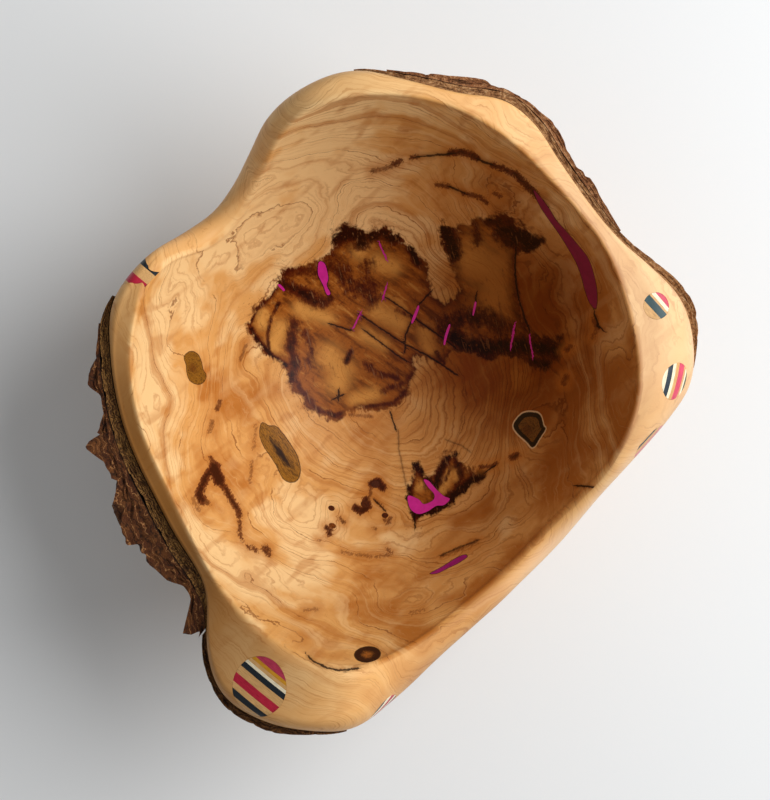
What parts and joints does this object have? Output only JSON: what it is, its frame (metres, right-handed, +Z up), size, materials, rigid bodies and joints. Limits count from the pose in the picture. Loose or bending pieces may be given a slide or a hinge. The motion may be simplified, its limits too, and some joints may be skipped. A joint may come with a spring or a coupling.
{
  "type": "natural-edge turned wooden bowl",
  "caption": "Natural-edge turned wooden bowl with raised corners, bark edges, laminated veneer plugs, resin fills and inset knots.",
  "frame": {"origin": "on the table, under the middle of the bowl's outline; the turning axis stands 2.9 mm to -X and 4.8 mm to +Y of it", "axes": "+Z up out of the mouth, +Y towards the tallest corner, +X towards the corner with the small and the sloping plug"},
  "size_m": [0.1558, 0.1599, 0.0882],
  "materials": {
    "turned_wood": "finely sanded figured hardwood under a satin oil and wax finish",
    "inner_bark": "dry fibrous inner bark, sealed, matt",
    "outer_bark": "rough corky outer bark, sealed, matt with a little sheen on the ridges",
    "ply_natural": "natural rotary-cut maple veneer, end on, satin",
    "ply_cream": "pale maple veneer, end on, satin",
    "ply_navy": "dyed veneer, end on, satin",
    "ply_teal": "dyed veneer, end on, satin",
    "ply_red": "dyed veneer, end on, satin",
    "ply_pink": "dyed veneer, end on, satin",
    "ply_yellow": "dyed veneer, end on, satin",
    "ply_green": "dyed veneer, end on, satin",
    "resin": "cast pearl-pigmented resin, sanded and polished flush",
    "knot_brown": "sound olive-brown knot wood, satin",
    "knot_dark": "dark bark-ringed knot wood, satin"
  },
  "bodies": {
    "root": {"bowl_wood": "turned_wood", "bark_right_inner": "inner_bark", "bark_right_outer": "outer_bark", "bark_left_inner": "inner_bark", "bark_left_outer": "outer_bark", "bark_bottom": "outer_bark", "big_plug_natural": "ply_natural", "big_plug_cream": "ply_cream", "big_plug_navy": "ply_navy", "big_plug_red": "ply_red", "big_plug_yellow": "ply_yellow", "big_plug_pink": "ply_pink", "small_plug_natural": "ply_natural", "small_plug_cream": "ply_cream", "small_plug_teal": "ply_teal", "small_plug_red": "ply_red", "slope_plug_natural": "ply_natural", "slope_plug_cream": "ply_cream", "slope_plug_navy": "ply_navy", "slope_plug_red": "ply_red", "slope_plug_green": "ply_green", "wall_plug_natural": "ply_natural", "wall_plug_navy": "ply_navy", "wall_plug_pink": "ply_pink", "low_plug_cream": "ply_cream", "low_plug_navy": "ply_navy", "low_plug_red": "ply_red", "left_plug_natural": "ply_natural", "left_plug_navy": "ply_navy", "left_plug_red": "ply_red", "resin_crescent": "resin", "resin_blob": "resin", "resin_fork": "resin", "resin_sliver": "resin", "resin_cracks": "resin", "knot_left": "knot_brown", "knot_centre": "knot_brown", "knot_right_core": "knot_brown", "knot_right_bark": "knot_dark", "knot_rim": "knot_dark", "knots_pin": "knot_dark"}
  },
  "joints": []
}
